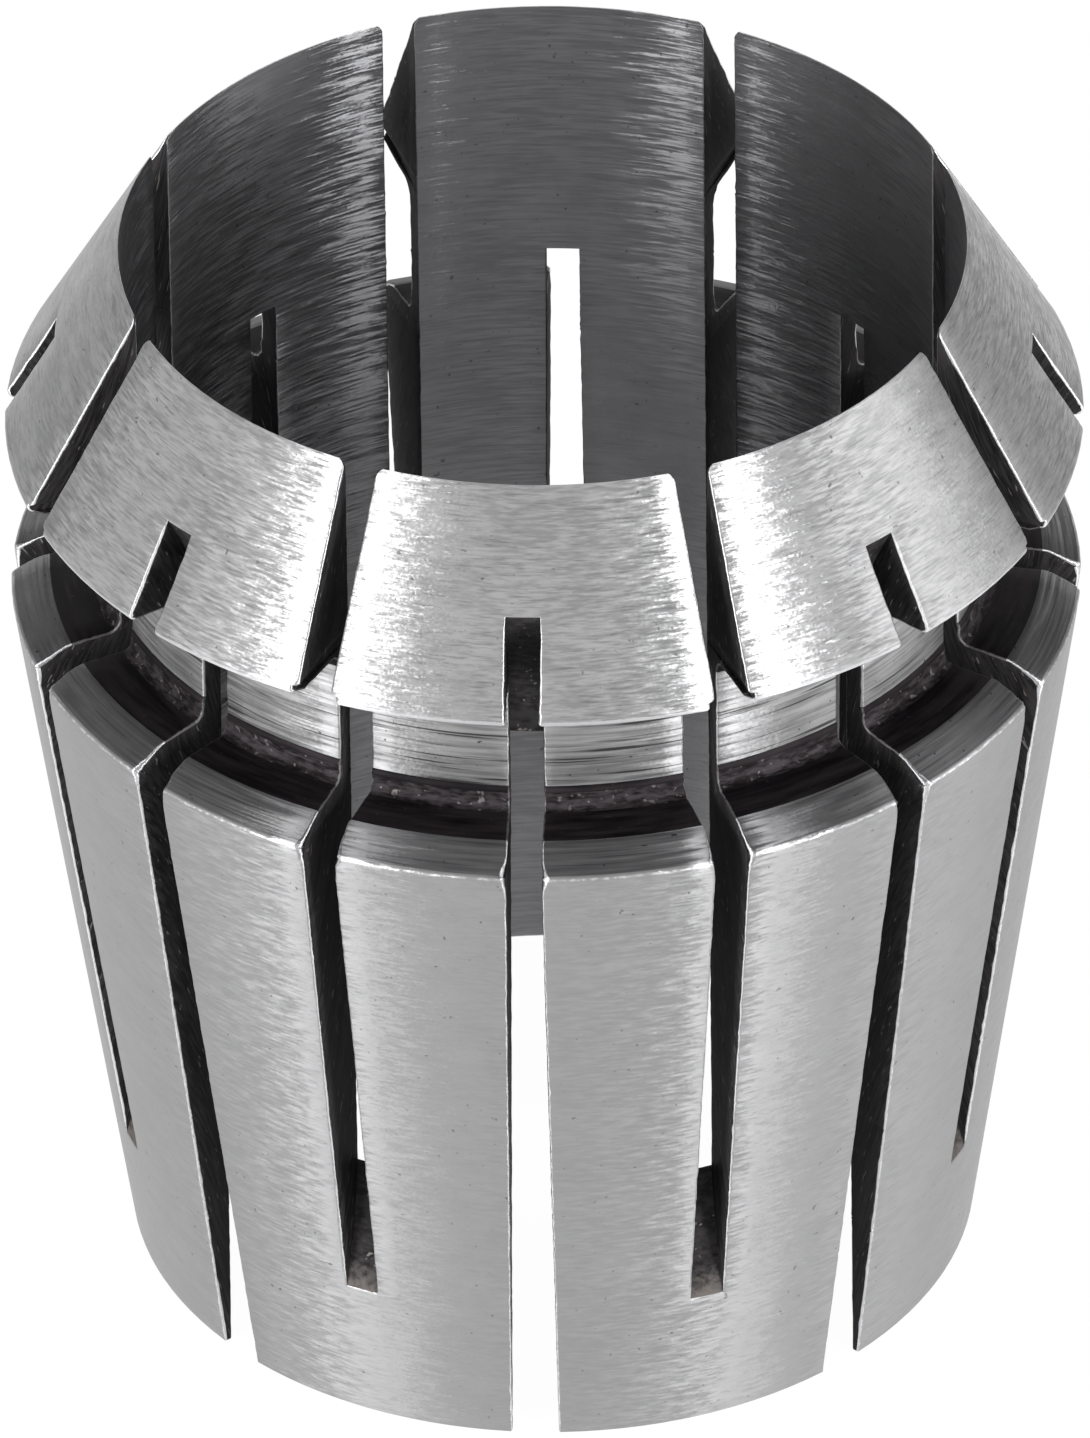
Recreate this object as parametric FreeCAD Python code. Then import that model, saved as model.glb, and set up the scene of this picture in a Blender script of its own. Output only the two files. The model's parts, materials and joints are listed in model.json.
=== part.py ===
import FreeCAD, Part
import math
import os

# The collet stands on its small end. The origin is the centre of the rear face,
# and +Z runs along the axis to the nose, where the shank goes in.
# Driving dimensions, in millimetres and degrees.
shank_diameter = 32.0       # largest shank that the collet takes
shank_clearance = 0.1       # gap all round that shank while the collet is free
rear_wall = 0.3             # wall round the bore at the small end
body_taper = 8.0            # half angle of the body, which widens from that wall to 41 mm
body_length = 29.17         # of the body taper, along the axis
nose_angle = 30.0           # half angle of the nose cone
flange_step = 0.25          # the flange's sharp edge would stand this far outside the body
flank_slope = 6.0           # both flanks lean outwards, so the groove is wider at its mouth
groove_width = 5.7          # between the flanks, at the neck
neck_wall = 0.9             # wall left round the bore under the groove
neck_land = 4.95            # finished length of the neck, from the front flank
band_step = 0.07            # the unfinished rest of the neck is this much larger
crest_width = 1.3           # chamfer on the body's front edge, measured radially
crest_slope = 29.0          # that chamfer's fall, from a plane across the axis

# Corner radii of the turned outline.
flange_edge_radius = 0.3
front_root_radius = 0.6
rear_root_radius = 0.4
crest_radius = 1.0

# The strips are cut free by a circular saw, from both ends in turn.
slots_per_end = 8
saw_width = 1.3
saw_radius = 20.0
nose_web = 4.35             # ring left at the nose, from the rim to the slots' ends
rear_web = 6.4              # ring left at the rear, from the face to the slots' ends
rear_saw_overreach = 0.25   # how far the saw breaks into the bore, cutting from the rear
front_saw_overreach = 0.08  # the same, cutting from the nose
rear_spread = 0.5           # the sprung strips stand this much further apart at the rear
cut_overrun = 2.0           # how far a cutting body runs past the metal

# What follows from them.
bore_radius = shank_diameter / 2 + shank_clearance
rear_radius = bore_radius + rear_wall
neck_radius = bore_radius + neck_wall
band_radius = neck_radius + band_step


def slope(angle):
    return math.tan(math.radians(angle))


body_radius = rear_radius + body_length * slope(body_taper)
flange_radius = body_radius + flange_step
crest_inner_radius = body_radius - crest_width
nose_height = (flange_radius - bore_radius) / slope(nose_angle)
crest_z = body_length + crest_width * slope(crest_slope)
rear_flank_z = crest_z + (crest_inner_radius - neck_radius) * slope(flank_slope)
front_flank_z = rear_flank_z + groove_width
flange_z = front_flank_z + (flange_radius - neck_radius) * slope(flank_slope)
total_length = flange_z + nose_height


def at(radius, z):
    return FreeCAD.Vector(radius, 0, z)


# Closed wire through corners of (radius, z, corner radius), with a tangent arc at each
# corner that has a radius. An arc takes at most 45% of the shorter of its two runs.
def rounded_outline(corners):
    points = [at(r, z) for r, z, _ in corners]
    starts = []
    ends = []
    arcs = []
    for i, (r, z, radius) in enumerate(corners):
        here = points[i]
        back = points[i - 1] - here
        ahead = points[(i + 1) % len(points)] - here
        half = back.getAngle(ahead) / 2
        if radius == 0:
            starts.append(here)
            ends.append(here)
            arcs.append(None)
            continue
        setback = min(radius / math.tan(half), 0.45 * back.Length, 0.45 * ahead.Length)
        to_back = FreeCAD.Vector(back).normalize()
        to_ahead = FreeCAD.Vector(ahead).normalize()
        bisector = (to_back + to_ahead).normalize()
        used = setback * math.tan(half)
        middle = here + bisector * (used / math.sin(half) - used)
        starts.append(here + to_back * setback)
        ends.append(here + to_ahead * setback)
        arcs.append(middle)
    edges = []
    for i, middle in enumerate(arcs):
        if middle is not None:
            edges.append(Part.Arc(starts[i], middle, ends[i]).toShape())
        following = starts[(i + 1) % len(starts)]
        edges.append(Part.LineSegment(ends[i], following).toShape())
    return Part.Wire(edges)


# The whole collet before sawing: body taper, groove, flange and nose round one bore.
def turned_blank():
    band_foot_z = crest_z + (crest_inner_radius - band_radius) * slope(flank_slope)
    neck_foot_z = front_flank_z - neck_land
    corners = [
        (bore_radius, 0, 0),
        (rear_radius, 0, 0),
        (body_radius, body_length, 0),
        (crest_inner_radius, crest_z, crest_radius),
        (band_radius, band_foot_z, rear_root_radius),
        (band_radius, neck_foot_z, 0),
        (neck_radius, neck_foot_z, 0),
        (neck_radius, front_flank_z, front_root_radius),
        (flange_radius, flange_z, flange_edge_radius),
        (bore_radius, total_length, 0),
    ]
    section = Part.Face(rounded_outline(corners))
    return section.revolve(at(0, 0), FreeCAD.Vector(0, 0, 1), 360)


# One slot on the +X side, as the saw leaves it. The saw's axle stays outside the collet
# and travels along it, so the slot's floor is part of the saw's circle. The floor meets
# the outer surface at end_radius, end_z, and the slot is shorter in the bore.
def saw_cut(end_radius, end_z, overreach, from_rear, spread):
    axle_radius = bore_radius - overreach + saw_radius
    run = math.sqrt(saw_radius ** 2 - (axle_radius - end_radius) ** 2)
    outer = flange_radius + cut_overrun
    if from_rear:
        towards_web = 1
        open_z = -cut_overrun
    else:
        towards_web = -1
        open_z = total_length + cut_overrun
    axle_z = end_z - towards_web * run
    inner = axle_radius - saw_radius

    def floor(radius):
        return axle_z + towards_web * math.sqrt(saw_radius ** 2 - (axle_radius - radius) ** 2)

    middle = (inner + outer) / 2
    side_view = Part.Wire([
        Part.LineSegment(at(inner, open_z), at(inner, axle_z)).toShape(),
        Part.Arc(at(inner, axle_z), at(middle, floor(middle)), at(outer, floor(outer))).toShape(),
        Part.LineSegment(at(outer, floor(outer)), at(outer, open_z)).toShape(),
        Part.LineSegment(at(outer, open_z), at(inner, open_z)).toShape(),
    ])
    reach = saw_width + spread + cut_overrun
    blade = Part.Face(side_view).extrude(FreeCAD.Vector(0, 2 * reach, 0))
    blade.translate(FreeCAD.Vector(0, -reach, 0))
    return blade.common(gap_between_strips(spread, outer))


# The gap seen along a radius: parallel from the nose to the groove, then wider to the rear.
def gap_between_strips(spread, outer):
    half = saw_width / 2
    flare_z = rear_flank_z
    widening = spread / 2 / flare_z
    foot = half + spread / 2 + widening * cut_overrun
    top = total_length + cut_overrun
    right = [(half, top), (half, flare_z), (foot, -cut_overrun)]
    left = [(-y, z) for y, z in reversed(right)]
    points = [FreeCAD.Vector(0, y, z) for y, z in right + left]
    outline = Part.makePolygon(points + points[:1])
    return Part.Face(outline).extrude(FreeCAD.Vector(outer, 0, 0))


# One copy of a cutter for each slot of an end, evenly spaced, the first at first_angle from -Y.
def around_axis(cutter, first_angle):
    copies = []
    for i in range(slots_per_end):
        turned = cutter.copy()
        turned.rotate(at(0, 0), FreeCAD.Vector(0, 0, 1), first_angle - 90 + i * 360 / slots_per_end)
        copies.append(turned)
    return copies


def collet():
    end_on_nose = bore_radius + nose_web * slope(nose_angle)
    end_on_body = rear_radius + rear_web * slope(body_taper)
    rear_cut = saw_cut(end_on_nose, total_length - nose_web, rear_saw_overreach, True, rear_spread)
    front_cut = saw_cut(end_on_body, rear_web, front_saw_overreach, False, 0)
    pitch = 360 / slots_per_end
    return turned_blank().cut(around_axis(rear_cut, 0) + around_axis(front_cut, pitch / 2))


os.makedirs("parts", exist_ok=True)
shape = collet()
shape.exportStep("parts/collet.step")
print("collet:", round(total_length, 2), "mm long,", len(shape.Solids), "solid, valid:", shape.isValid())
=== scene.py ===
import json
import math

import bmesh
import bpy
import numpy as np
from mathutils import Matrix, Vector


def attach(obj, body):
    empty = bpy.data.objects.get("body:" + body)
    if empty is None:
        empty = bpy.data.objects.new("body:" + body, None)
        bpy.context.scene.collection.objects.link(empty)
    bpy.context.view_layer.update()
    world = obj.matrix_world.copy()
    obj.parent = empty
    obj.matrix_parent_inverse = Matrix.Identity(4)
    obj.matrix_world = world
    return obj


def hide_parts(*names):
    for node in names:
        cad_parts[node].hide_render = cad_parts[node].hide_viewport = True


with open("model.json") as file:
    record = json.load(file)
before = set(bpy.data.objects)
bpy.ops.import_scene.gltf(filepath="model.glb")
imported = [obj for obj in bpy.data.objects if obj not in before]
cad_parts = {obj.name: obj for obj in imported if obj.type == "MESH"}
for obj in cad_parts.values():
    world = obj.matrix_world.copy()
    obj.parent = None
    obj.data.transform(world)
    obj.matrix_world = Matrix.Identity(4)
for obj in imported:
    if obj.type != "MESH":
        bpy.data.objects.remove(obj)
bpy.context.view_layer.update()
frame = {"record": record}        # one body, root, which carries one node, collet
millimetre = 0.001

boreMount = next(mount for mount in frame["record"]["mounts"] if mount["name"] == "bore")

# The collet in millimetres and degrees: turned from the rear face up, then sawn from both ends.
collet = {
    "boreRadius": boreMount["dims"]["r_mm"],
    "rearWall": 0.3,
    "bodyTaper": 8.0,
    "bodyLength": 29.17,
    "noseAngle": 30.0,
    "flangeStep": 0.25,       # the flange's sharp edge stands this far outside the body
    "flankSlope": 6.0,
    "grooveWidth": 5.7,
    "neckWall": 0.9,
    "neckLand": 4.95,         # finished length of the neck, from the front flank
    "bandStep": 0.07,         # the neck's unfinished foot stands this much proud
    "crestWidth": 1.3,
    "crestSlope": 29.0,

    # Corner radii of the turned outline. Its sharp corners have the small ones that real edges have.
    "rearCorner": 0.08,
    "shoulderCorner": 0.22,
    "crestCorner": 1.0,
    "rearRootCorner": 0.4,
    "rampCorner": 0.3,        # the step at the neck's foot is a short ramp
    "frontRootCorner": 0.6,
    "flangeCorner": 0.3,
    "rimCorner": 0.02,

    # The slots, and the circular saw that cuts them.
    "slotPairs": 8,
    "sawWidth": 1.3,
    "sawRadius": 20.0,
    "noseWeb": 4.35,          # ring left at the nose
    "rearWeb": 6.4,           # and at the rear
    "rearOverreach": 0.25,    # how far the saw breaks into the bore, cutting from the rear
    "frontOverreach": 0.08,   # the same, cutting from the nose
    "rearSpread": 0.5,        # the sprung strips stand this much further apart at the rear
    "scorchLength": 2.4,      # stained end of a front slot's floor

    # How the brush has broken the sawn edges.
    "edgeBreak": 0.1,         # radius that it left on them
    "boreBreak": 0.04,        # the same in the bore, where it reaches less
    "endBreak": 0.35,         # share of it left at a slot's end
    "endFade": 0.5,           # distance from that end in which it gets back to full size
    "thinShare": 0.25,        # where the wall is thin, the edge break is this share of it
    "leastBreak": 0.012,
    "noseRound": 0.45,        # radius left on a strip's corners at the nose
    "flangeRound": 0.25,      # and at the flange's edge
    "shoulderBreak": 1.6,     # how much larger the edge break is on the shoulder, as a share of it
    "shoulderWear": 0.06,     # how far the brush has worn a strip's side there
    "wearLength": 0.5,        # along the outline
    "uneven": 0.15,           # how much the edge break varies, as a share of its radius
    "unevenLimit": 0.6,       # at most
    "shoulderPaintedHighlight": 0.6,     # how bright a highlight is painted on the outline's own corners
    "flangePaintedHighlight": 0.9,
    "rimPaintedHighlight": 0.9,
    "paintedHighlightReach": 1.3,        # the painted highlight beside a slot is this many edge breaks wide
    "paintedHighlightFade": 0.3,         # and fades out in this distance from the slot's end

    # How ragged the saw has left them.
    "ragged": 0.008,          # how far they wander to the side from row to row
    "boreRagged": 0.022,      # the same in the bore
    "drift": 0.016,           # how far they wander slowly
    "driftRows": 17,          # averaged over this many rows
    "raggedFade": 0.6,        # both fade out in this distance from the slot's end
    "rearFade": 0.5,          # and from the rear face

    # How finely the surfaces are worked out.
    "rowStep": 0.37,          # between rows along the outline
    "arcStep": 20.0,          # degrees of turn between rows on a corner
    "closestRows": 0.02,      # a row nearer than this to the last one is left out
    "clearOfEnds": 0.05,      # and so is one this near to the rows at a slot's end
    "probeStep": 0.001,       # fine steps along the outline, to look up a height
    "rimSteps": 3,
    "stripColumns": 6,        # across a strip, between its two broken edges
    "floorColumns": 5,        # across a slot's floor
    "floorFade": 0.3,         # a floor bends to meet the rounded outline within about this distance
    "wallShares": (0.0, 0.15, 0.85, 1.0),     # columns on a slot's wall, from the outside to the bore
    "mapRadius": 18.0,        # mean radius, which turns angles round the axis into distances
    "wallShift": 40.0,        # keeps the grain of a slot's two walls apart
    "seed": 41,
}


def slope(angle):
    return math.tan(math.radians(angle))


# What follows from them for the turned outline.
boreRadius = collet["boreRadius"]
rearRadius = boreRadius + collet["rearWall"]
bodyRadius = rearRadius + collet["bodyLength"] * slope(collet["bodyTaper"])
flangeRadius = bodyRadius + collet["flangeStep"]
crestRadius = bodyRadius - collet["crestWidth"]
neckRadius = boreRadius + collet["neckWall"]
bandRadius = neckRadius + collet["bandStep"]
crestZ = collet["bodyLength"] + collet["crestWidth"] * slope(collet["crestSlope"])
rearFlankZ = crestZ + (crestRadius - neckRadius) * slope(collet["flankSlope"])
bandZ = crestZ + (crestRadius - bandRadius) * slope(collet["flankSlope"])
frontFlankZ = rearFlankZ + collet["grooveWidth"]
flangeZ = frontFlankZ + (flangeRadius - neckRadius) * slope(collet["flankSlope"])
noseZ = flangeZ + (flangeRadius - boreRadius) / slope(collet["noseAngle"])
stepZ = frontFlankZ - collet["neckLand"]

# Its corners as (radius, height, corner radius), counter-clockwise from the rear face.
outlineCorners = {
    "start": ((rearRadius + boreRadius) / 2, 0, 0),
    "rear": (rearRadius, 0, collet["rearCorner"]),
    "shoulder": (bodyRadius, collet["bodyLength"], collet["shoulderCorner"]),
    "crest": (crestRadius, crestZ, collet["crestCorner"]),
    "rearRoot": (bandRadius, bandZ, collet["rearRootCorner"]),
    "rampFoot": (bandRadius, stepZ - collet["bandStep"], collet["rampCorner"]),
    "rampTop": (neckRadius, stepZ + collet["bandStep"], collet["rampCorner"]),
    "frontRoot": (neckRadius, frontFlankZ, collet["frontRootCorner"]),
    "flange": (flangeRadius, flangeZ, collet["flangeCorner"]),
    "rim": (boreRadius, noseZ, collet["rimCorner"]),
    "heel": (boreRadius, 0, collet["rearCorner"]),
}


# The outline as straight runs and tangent arcs. Each is (start distance, radius, height, heading,
# curvature): after a distance t its heading has turned by curvature * t. An arc takes up corner
# radius * tan(turn / 2) on both sides of its corner. The spans say where each corner's arc lies.
def outlineRuns(corners):
    names = list(corners)
    places = [np.array(corners[name][:2]) for name in names]
    runs = []
    spans = {}
    distance = 0.0
    here = places[0]
    for i in range(1, len(names) + 1):
        name = names[i % len(names)]
        corner = places[i % len(names)]
        radius = corners[name][2]
        heading = math.atan2(*(corner - here)[::-1])
        following = places[(i + 1) % len(names)] - corner
        turn = (math.atan2(following[1], following[0]) - heading + math.pi) % (2 * math.pi) - math.pi
        setback = radius * math.tan(abs(turn) / 2)
        length = np.linalg.norm(corner - here) - setback
        runs.append((distance, *here, heading, 0.0))
        distance += length
        arcStart = distance
        here = here + length * np.array([math.cos(heading), math.sin(heading)])
        if setback:
            runs.append((distance, *here, heading, math.copysign(1 / radius, turn)))
            distance += radius * abs(turn)
            here = corner + setback * following / np.linalg.norm(following)
        spans[name] = (arcStart, distance)
    return np.array(runs), spans


onTheMark = 1e-9         # millimetres, so that a row on a run's end counts as on it


# Radius, height and outward normal at each distance along the outline. On a straight run they grow by
# t * cos(heading) and t * sin(heading), and on an arc by the change of sin(heading) and of
# -cos(heading), over the curvature.
def onOutline(runs, distance):
    run = runs[np.searchsorted(runs[:, 0], distance + onTheMark, side="right") - 1]
    t = distance - run[:, 0]
    heading, curvature = run[:, 3], run[:, 4]
    turned = heading + curvature * t
    straight = curvature == 0
    k = np.where(straight, 1.0, curvature)
    r = run[:, 1] + np.where(straight, t * np.cos(heading), (np.sin(turned) - np.sin(heading)) / k)
    z = run[:, 2] + np.where(straight, t * np.sin(heading), (np.cos(heading) - np.cos(turned)) / k)
    return r, z, np.sin(turned), -np.cos(turned)


outline, spans = outlineRuns(outlineCorners)
outlineLength = spans["start"][1]
rearStart, rearEnd = spans["rear"]
shoulderStart, shoulderEnd = spans["shoulder"]
crestEnd = spans["crest"][1]
rootStart = spans["rearRoot"][0]
rampStart, rampEnd = spans["rampFoot"][0], spans["rampTop"][1]
frontRootStart = spans["frontRoot"][0]
flangeStart, flangeEnd = spans["flange"]
rimStart, rimEnd = spans["rim"]
boreEnd, heelEnd = spans["heel"]      # the bore's rear corner, between the bore and the rear face
print("outline", round(outlineLength, 2), "mm round, nose at", round(noseZ, 3))

halfPitch = math.pi / collet["slotPairs"]          # angle between a rear slot and the next front slot


# One kind of slot: radius and height of the saw's axle, and the heights at which the saw's circle meets
# the outside and the bore. Its web is above it, 1, or below it, -1.
def sawnSlot(endRadius, endZ, overreach, web):
    reach = collet["sawRadius"]
    axle = boreRadius - overreach + reach
    axleZ = endZ - web * math.sqrt(reach ** 2 - (axle - endRadius) ** 2)
    boreZ = axleZ + web * math.sqrt(reach ** 2 - (axle - boreRadius) ** 2)
    return {"axle": axle, "axleZ": axleZ, "endZ": endZ, "boreZ": boreZ, "web": web}


slotKinds = {
    "rear": sawnSlot(boreRadius + collet["noseWeb"] * slope(collet["noseAngle"]),
                     noseZ - collet["noseWeb"], collet["rearOverreach"], 1),
    "front": sawnSlot(rearRadius + collet["rearWeb"] * slope(collet["bodyTaper"]),
                      collet["rearWeb"], collet["frontOverreach"], -1),
}

# An edge break is a quarter round: these are its steps, as shares of its radius.
breakSteps = 1 - np.cos(np.radians([0, 30, 60, 90]))


# Distances of the rows up the outside. Rows crowd on the corners and at the ends of the slots.
def outsideRows():
    probe = np.arange(rearEnd, rimStart, collet["probeStep"])
    heights = onOutline(outline, probe)[1]
    atEnds = []
    for kind in slotKinds.values():
        for height in (kind["endZ"], kind["boreZ"]):
            start = np.interp(height, heights, probe)
            atEnds.extend(start + kind["web"] * breakSteps * collet["edgeBreak"])
    atEnds = np.sort(atEnds)
    rows = []
    runEnds = np.append(outline[1:, 0], outlineLength)
    for start, end, curvature in zip(outline[:, 0], runEnds, outline[:, 4]):
        if end <= rearStart + onTheMark or start >= rimStart - onTheMark:
            continue
        turn = math.degrees(abs(curvature) * (end - start))
        if turn:
            count = max(2, math.ceil(turn / collet["arcStep"]))
        else:
            count = math.ceil((end - start) / collet["rowStep"])
        rows.extend(np.linspace(start, end, count, endpoint=False))
    noseReach = collet["noseRound"] / math.cos(math.radians(collet["noseAngle"]))
    rows.extend(rimStart - noseReach * breakSteps[1:])
    rows.extend(flangeEnd + collet["flangeRound"] * breakSteps[1:])
    rows = np.sort(np.array(rows + [rimStart]))
    rows = rows[np.append(True, np.diff(rows) > collet["closestRows"])]
    gap = np.abs(rows[:, None] - atEnds[None, :]).min(1)
    return np.sort(np.concatenate([rows[gap > collet["clearOfEnds"]], atEnds]))


outside = outsideRows()
outsideCount = len(outside)
outsideZ = onOutline(outline, outside)[1]

# The bore's rows face the outside's, height for height, and so do those of the rounded rear corners.
boreTop = onOutline(outline, np.array([rimEnd]))[1][0]
boreFoot = onOutline(outline, np.array([boreEnd]))[1][0]
cornerRows = int((outside <= rearEnd + onTheMark).sum())
boreHeights = np.minimum(outsideZ[cornerRows - 1:], boreTop)
boreHeights[0] = boreFoot
boreHeights[-1] = boreTop
heelShare = (heelEnd - boreEnd) / (rearEnd - rearStart)
heel = boreEnd + (rearEnd - outside[:cornerRows - 1]) * heelShare
inside = np.concatenate([heel, rimEnd + boreTop - boreHeights])

# One loop of rows: up the outside, over the rim, down the bore and across the rear face.
rim = np.linspace(rimStart, rimEnd, collet["rimSteps"] + 1)[1:-1]
wallShares = np.array(collet["wallShares"])
acrossRear = wallShares[-2:0:-1]
rearFace = heelEnd + (outlineLength - heelEnd + rearStart) * (1 - acrossRear)
loop = np.concatenate([outside, rim, inside[::-1], rearFace % outlineLength])
rowCount = len(loop)
rimRows = slice(outsideCount, outsideCount + len(rim))
rearRows = slice(rowCount - len(acrossRear), rowCount)
loopR, loopZ, loopNormalR, loopNormalZ = onOutline(outline, loop)
insideIndex = outsideCount + len(rim) + np.arange(outsideCount)[::-1]      # row that faces each outside row
print("rows", outsideCount, "up the outside,", rowCount, "in all")

# Edge break at each row: full size, or a share of the wall where that is thin, at both ends.
betweenEnds = noseZ - 8       # any height near the groove would do, as no wall is so thin there
wall = np.where(loopZ < betweenEnds,
                collet["rearWall"] + loopZ * slope(collet["bodyTaper"]),
                (noseZ - loopZ) * slope(collet["noseAngle"]))
onOutside = np.arange(rowCount) < outsideCount
fullBreak = np.where(onOutside, collet["edgeBreak"], collet["boreBreak"])
edgeBreak = np.clip(collet["thinShare"] * wall, collet["leastBreak"], fullBreak)
edgeBreak[rearRows] = edgeBreak[0] * (1 - acrossRear) + edgeBreak[insideIndex[0]] * acrossRear


# Sideways inset of a corner rounded to a radius, at a distance from where the corner was:
# radius - sqrt(radius^2 - (radius - distance)^2).
def roundedCorner(distance, radius):
    within = radius - np.clip(distance, 0, radius)
    return radius - np.sqrt(radius ** 2 - within ** 2)


# A strip's corners are rounded sideways: at the nose, the flange's edge and, a little, the shoulder.
noseInset = roundedCorner(noseZ - loopZ, collet["noseRound"])
fromFlange = np.maximum(np.maximum(flangeStart - loop, loop - flangeEnd), 0)
flangeInset = np.where(onOutside, roundedCorner(fromFlange, collet["flangeRound"]), 0)
onShoulder = np.exp(-((loop - (shoulderStart + shoulderEnd) / 2) / collet["wearLength"]) ** 2)
shoulderInset = collet["shoulderWear"] * onShoulder
edgeBreak = edgeBreak * (1 + collet["shoulderBreak"] * onShoulder)

# How far each row lies past a slot's end, into the metal that is left. It is negative in the slot.
farAway = 5.0                 # stands for the rim and the rear face, which are far from any slot's end
pastEnd = {}
for name, kind in slotKinds.items():
    endDistance = np.interp(kind["endZ"], outsideZ, outside)
    past = np.where(onOutside, kind["web"] * (loop - endDistance), kind["web"] * (loopZ - kind["boreZ"]))
    past[rimRows] = kind["web"] * farAway
    past[rearRows] = -kind["web"] * farAway
    pastEnd[name] = past

# So a slot's edge break gets smaller towards the slot's end.
slotBreak = {}
for name, past in pastEnd.items():
    nearEnd = np.exp(-(past / collet["endFade"]) ** 2)
    slotBreak[name] = edgeBreak * (1 - (1 - collet["endBreak"]) * nearEnd)

# Rows with a painted highlight in the edge colour: the first two thirds of the shoulder, flange's edge and
# rim.
besideRow = 0.01              # leaves out the row at a corner's start, and takes in the one at its end
paintedCornerHighlight = np.zeros(rowCount)
for corner in ("shoulder", "flange", "rim"):
    start, end = spans[corner]
    brightEnd = (start + 2 * end) / 3
    paintedCornerHighlight[(loop > start + besideRow) & (loop < brightEnd + besideRow)] = collet[corner + "PaintedHighlight"]

randomness = np.random.default_rng(collet["seed"])


# Half width of a slot at a height: as sawn above the groove, then wider to the rear.
def halfGap(kind, z):
    flare = collet["rearSpread"] / 2 if kind == "rear" else 0.0
    return collet["sawWidth"] / 2 + flare * np.clip(1 - z / rearFlankZ, 0, None)


# One sawn edge, row by row: how far it wanders sideways, fine chipping on a slower drift, and the
# radius of its edge break. Both are plain at the slot's end and on the rear face.
def sawnEdge(kind):
    chipping = np.where(fullBreak < collet["edgeBreak"], collet["boreRagged"], collet["ragged"])
    chips = randomness.normal(0, 1, rowCount) * chipping
    window = collet["driftRows"]
    drift = randomness.normal(0, collet["drift"], rowCount + window - 1)
    drift = np.convolve(drift, np.ones(window) / window, "valid")
    limit = collet["unevenLimit"]
    uneven = randomness.normal(0, collet["uneven"], rowCount).clip(-limit, limit)
    fade = np.clip(-pastEnd[kind] / collet["raggedFade"], 0, 1) * np.clip(loopZ / collet["rearFade"], 0, 1)
    thin = np.minimum(edgeBreak / collet["edgeBreak"], 1)
    if kind == "front":
        inset = (flangeInset + shoulderInset) * fade + noseInset
    else:
        inset = shoulderInset * fade
    return {"wander": (chips + drift) * fade * thin + inset, "inset": inset,
            "size": slotBreak[kind] * (1 + uneven * fade)}


# Point of the collet from its radius, its angle round from -Y, and its height.
def place(radius, angle, z):
    return np.stack([radius * np.sin(angle), -radius * np.cos(angle), z], -1)


# Depth of a quarter round below the surface: size - sqrt(size^2 - (size - distance)^2).
def quarterRound(distance, size):
    t = np.clip(distance, 0, size)
    return size - np.sqrt(np.maximum(size ** 2 - (size - t) ** 2, 0))


# One strip between two slots: rows are the closed outline, columns run round the axis from the
# middle of one slot to the middle of the next. A column at an offset from a slot's middle lies at that
# slot's angle plus or minus arcsin(offset / radius). Beside a slot the surface rounds down to its wall.
def stripSurface(slots, edges):
    sides = []
    for (kind, angle), edge in zip(slots, edges):
        past = pastEnd[kind]
        gap = halfGap(kind, loopZ)
        size = edge["size"]
        # Two columns over the open slot, then the steps of the edge break.
        offset = [np.zeros(rowCount), gap / 2]
        beside = [np.full(rowCount, -1.0), np.full(rowCount, -1.0)]
        for step in breakSteps:
            offset.append(gap + edge["wander"] * (1 - step) + edge["inset"] * step + size * step)
            beside.append(step * size)
        offset, beside = np.array(offset).T, np.array(beside).T
        fromHole = np.maximum(beside, past[:, None])
        blend = np.clip(past / collet["edgeBreak"], 0, 1)[:, None]
        radius = size[:, None] * (1 - blend) + collet["edgeBreak"] * blend
        depth = np.where(fromHole < radius, quarterRound(fromHole, radius), 0)
        # Beside a slot a highlight is painted in the edge colour along the broken edge, fading out towards
        # the slot's end.
        inSlot = np.clip(-past / collet["paintedHighlightFade"], 0, 1)[:, None]
        paintedEdgeHighlight = np.clip(1 - fromHole / (collet["paintedHighlightReach"] * radius), 0, 1) * inSlot
        sides.append((angle, offset, depth, paintedEdgeHighlight))
    (angleA, offsetA, depthA, paintedEdgeHighlightA), (angleB, offsetB, depthB, paintedEdgeHighlightB) = sides
    turnA = angleA + np.arcsin(offsetA / (loopR[:, None] - depthA * loopNormalR[:, None]))
    turnB = angleB - np.arcsin(offsetB / (loopR[:, None] - depthB * loopNormalR[:, None]))
    share = np.linspace(0, 1, collet["stripColumns"] + 1)[1:-1]
    turnMiddle = turnA[:, -1:] * (1 - share) + turnB[:, -1:] * share
    plain = np.zeros_like(turnMiddle)
    depth = np.concatenate([depthA, plain, depthB[:, ::-1]], 1)
    turn = np.concatenate([turnA, turnMiddle, turnB[:, ::-1]], 1)
    # The painted highlights, beside the slots and on the outline's corners.
    shine = np.maximum(np.concatenate([paintedEdgeHighlightA, plain, paintedEdgeHighlightB[:, ::-1]], 1), paintedCornerHighlight[:, None])
    radius = loopR[:, None] - depth * loopNormalR[:, None]
    z = loopZ[:, None] - depth * loopNormalZ[:, None]
    return place(radius, turn, z), turn, shine


# Zones of the outline, by the distance at which each begins.
zones = [
    (0.0, "body"), (shoulderEnd, "crest"), (crestEnd, "oxide"), (rootStart, "root"), (rampStart, "oxide"),
    (rampEnd, "neck"), (frontRootStart, "oxide"), (flangeStart, "cone"), (rimEnd, "bore"), (boreEnd, "body"),
]
zoneNames = ["body", "cone", "crest", "oxide", "root", "neck", "bore", "sawn"]
zoneStarts = np.array([start for start, name in zones])
zoneIndex = np.array([zoneNames.index(name) for start, name in zones])
sawnZone = zoneNames.index("sawn")
pastMark = 1e-6          # millimetres, so that a row on a border belongs to what begins there


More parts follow.
